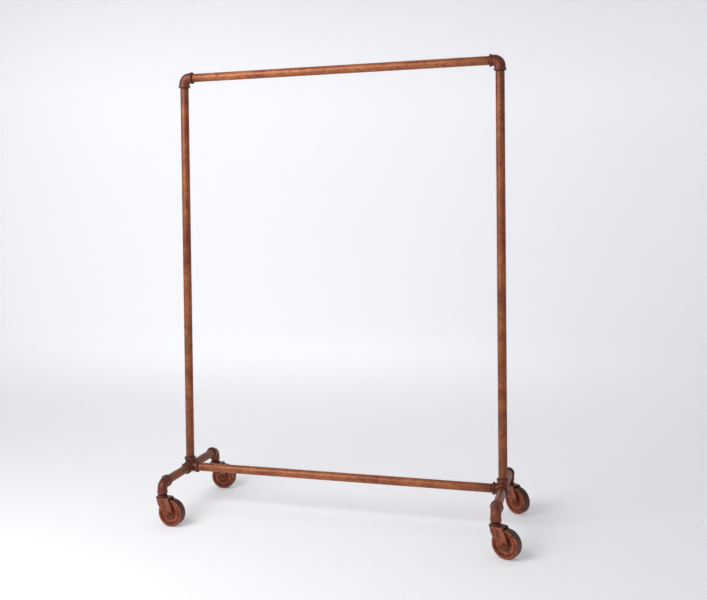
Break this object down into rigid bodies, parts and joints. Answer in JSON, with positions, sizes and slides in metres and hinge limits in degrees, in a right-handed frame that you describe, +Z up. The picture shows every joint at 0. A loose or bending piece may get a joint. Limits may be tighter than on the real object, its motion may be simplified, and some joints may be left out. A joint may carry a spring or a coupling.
{
  "type": "rolling clothes rack",
  "caption": "Rolling clothes rack of threaded iron pipe: one hang bar over a bottom rail, short cross legs, banded fittings and swivel casters with cast wheels.",
  "frame": {"origin": "on the floor, under the middle of the rack, midway between the four caster stems", "axes": "+X along the hang bar to the right, +Y to the rear, +Z up"},
  "size_m": [1.3849, 0.5553, 1.7632],
  "materials": {
    "pipe": "rust-brown patina under satin clear lacquer",
    "casting": "dark rust patina on a sand-cast skin, satin lacquer",
    "pressed_steel": "rust-brown patina, satin lacquer",
    "wheel_iron": "mottled rust patina on turned and cast faces",
    "fastener": "dark browned steel",
    "bright_steel": "ground steel with a film of grease"
  },
  "bodies": {
    "frame": {"hang_bar": "pipe", "left_upright": "pipe", "right_upright": "pipe", "bottom_rail": "pipe", "top_left_elbow": "casting", "top_right_elbow": "casting", "left_side_outlet_tee": "casting", "right_side_outlet_tee": "casting", "front_left_leg_pipe": "pipe", "front_left_leg_elbow": "casting", "front_left_stem_nipple": "pipe", "front_left_swivel_cap": "pressed_steel", "front_left_kingpin": "fastener", "front_left_kingpin_nut": "fastener", "front_right_leg_pipe": "pipe", "front_right_leg_elbow": "casting", "front_right_stem_nipple": "pipe", "front_right_swivel_cap": "pressed_steel", "front_right_kingpin": "fastener", "front_right_kingpin_nut": "fastener", "rear_left_leg_pipe": "pipe", "rear_left_leg_elbow": "casting", "rear_left_stem_nipple": "pipe", "rear_left_swivel_cap": "pressed_steel", "rear_left_kingpin": "fastener", "rear_left_kingpin_nut": "fastener", "rear_right_leg_pipe": "pipe", "rear_right_leg_elbow": "casting", "rear_right_stem_nipple": "pipe", "rear_right_swivel_cap": "pressed_steel", "rear_right_kingpin": "fastener", "rear_right_kingpin_nut": "fastener"},
    "front_left_swivel": {"front_left_swivel_balls": "bright_steel", "front_left_fork": "pressed_steel", "front_left_axle_bushing": "bright_steel", "front_left_axle_bolt": "fastener", "front_left_axle_nut": "fastener"},
    "front_left_roller": {"front_left_wheel": "wheel_iron"},
    "front_right_swivel": {"front_right_swivel_balls": "bright_steel", "front_right_fork": "pressed_steel", "front_right_axle_bushing": "bright_steel", "front_right_axle_bolt": "fastener", "front_right_axle_nut": "fastener"},
    "front_right_roller": {"front_right_wheel": "wheel_iron"},
    "rear_left_swivel": {"rear_left_swivel_balls": "bright_steel", "rear_left_fork": "pressed_steel", "rear_left_axle_bushing": "bright_steel", "rear_left_axle_bolt": "fastener", "rear_left_axle_nut": "fastener"},
    "rear_left_roller": {"rear_left_wheel": "wheel_iron"},
    "rear_right_swivel": {"rear_right_swivel_balls": "bright_steel", "rear_right_fork": "pressed_steel", "rear_right_axle_bushing": "bright_steel", "rear_right_axle_bolt": "fastener", "rear_right_axle_nut": "fastener"},
    "rear_right_roller": {"rear_right_wheel": "wheel_iron"}
  },
  "joints": [
    {"name": "front_left_swivel_turn", "type": "hinge", "parent": "frame", "child": "front_left_swivel", "pos_m": [-0.635, -0.238, 0.109], "axis": [0, 0, 1], "continuous": true},
    {"name": "front_left_wheel_spin", "type": "hinge", "parent": "front_left_swivel", "child": "front_left_roller", "pos_m": [-0.5946, -0.24083, 0.0508], "axis": [0.0698, 0.9976, 0], "continuous": true},
    {"name": "front_right_swivel_turn", "type": "hinge", "parent": "frame", "child": "front_right_swivel", "pos_m": [0.635, -0.238, 0.109], "axis": [0, 0, 1], "continuous": true},
    {"name": "front_right_wheel_spin", "type": "hinge", "parent": "front_right_swivel", "child": "front_right_roller", "pos_m": [0.67281, -0.25251, 0.0508], "axis": [0.3584, 0.9336, 0], "continuous": true},
    {"name": "rear_left_swivel_turn", "type": "hinge", "parent": "frame", "child": "rear_left_swivel", "pos_m": [-0.635, 0.238, 0.109], "axis": [0, 0, 1], "continuous": true},
    {"name": "rear_left_wheel_spin", "type": "hinge", "parent": "rear_left_swivel", "child": "rear_left_roller", "pos_m": [-0.5946, 0.24083, 0.0508], "axis": [-0.0698, 0.9976, 0], "continuous": true},
    {"name": "rear_right_swivel_turn", "type": "hinge", "parent": "frame", "child": "rear_right_swivel", "pos_m": [0.635, 0.238, 0.109], "axis": [0, 0, 1], "continuous": true},
    {"name": "rear_right_wheel_spin", "type": "hinge", "parent": "rear_right_swivel", "child": "rear_right_roller", "pos_m": [0.66818, 0.21477, 0.0508], "axis": [0.5736, 0.8192, 0], "continuous": true}
  ]
}
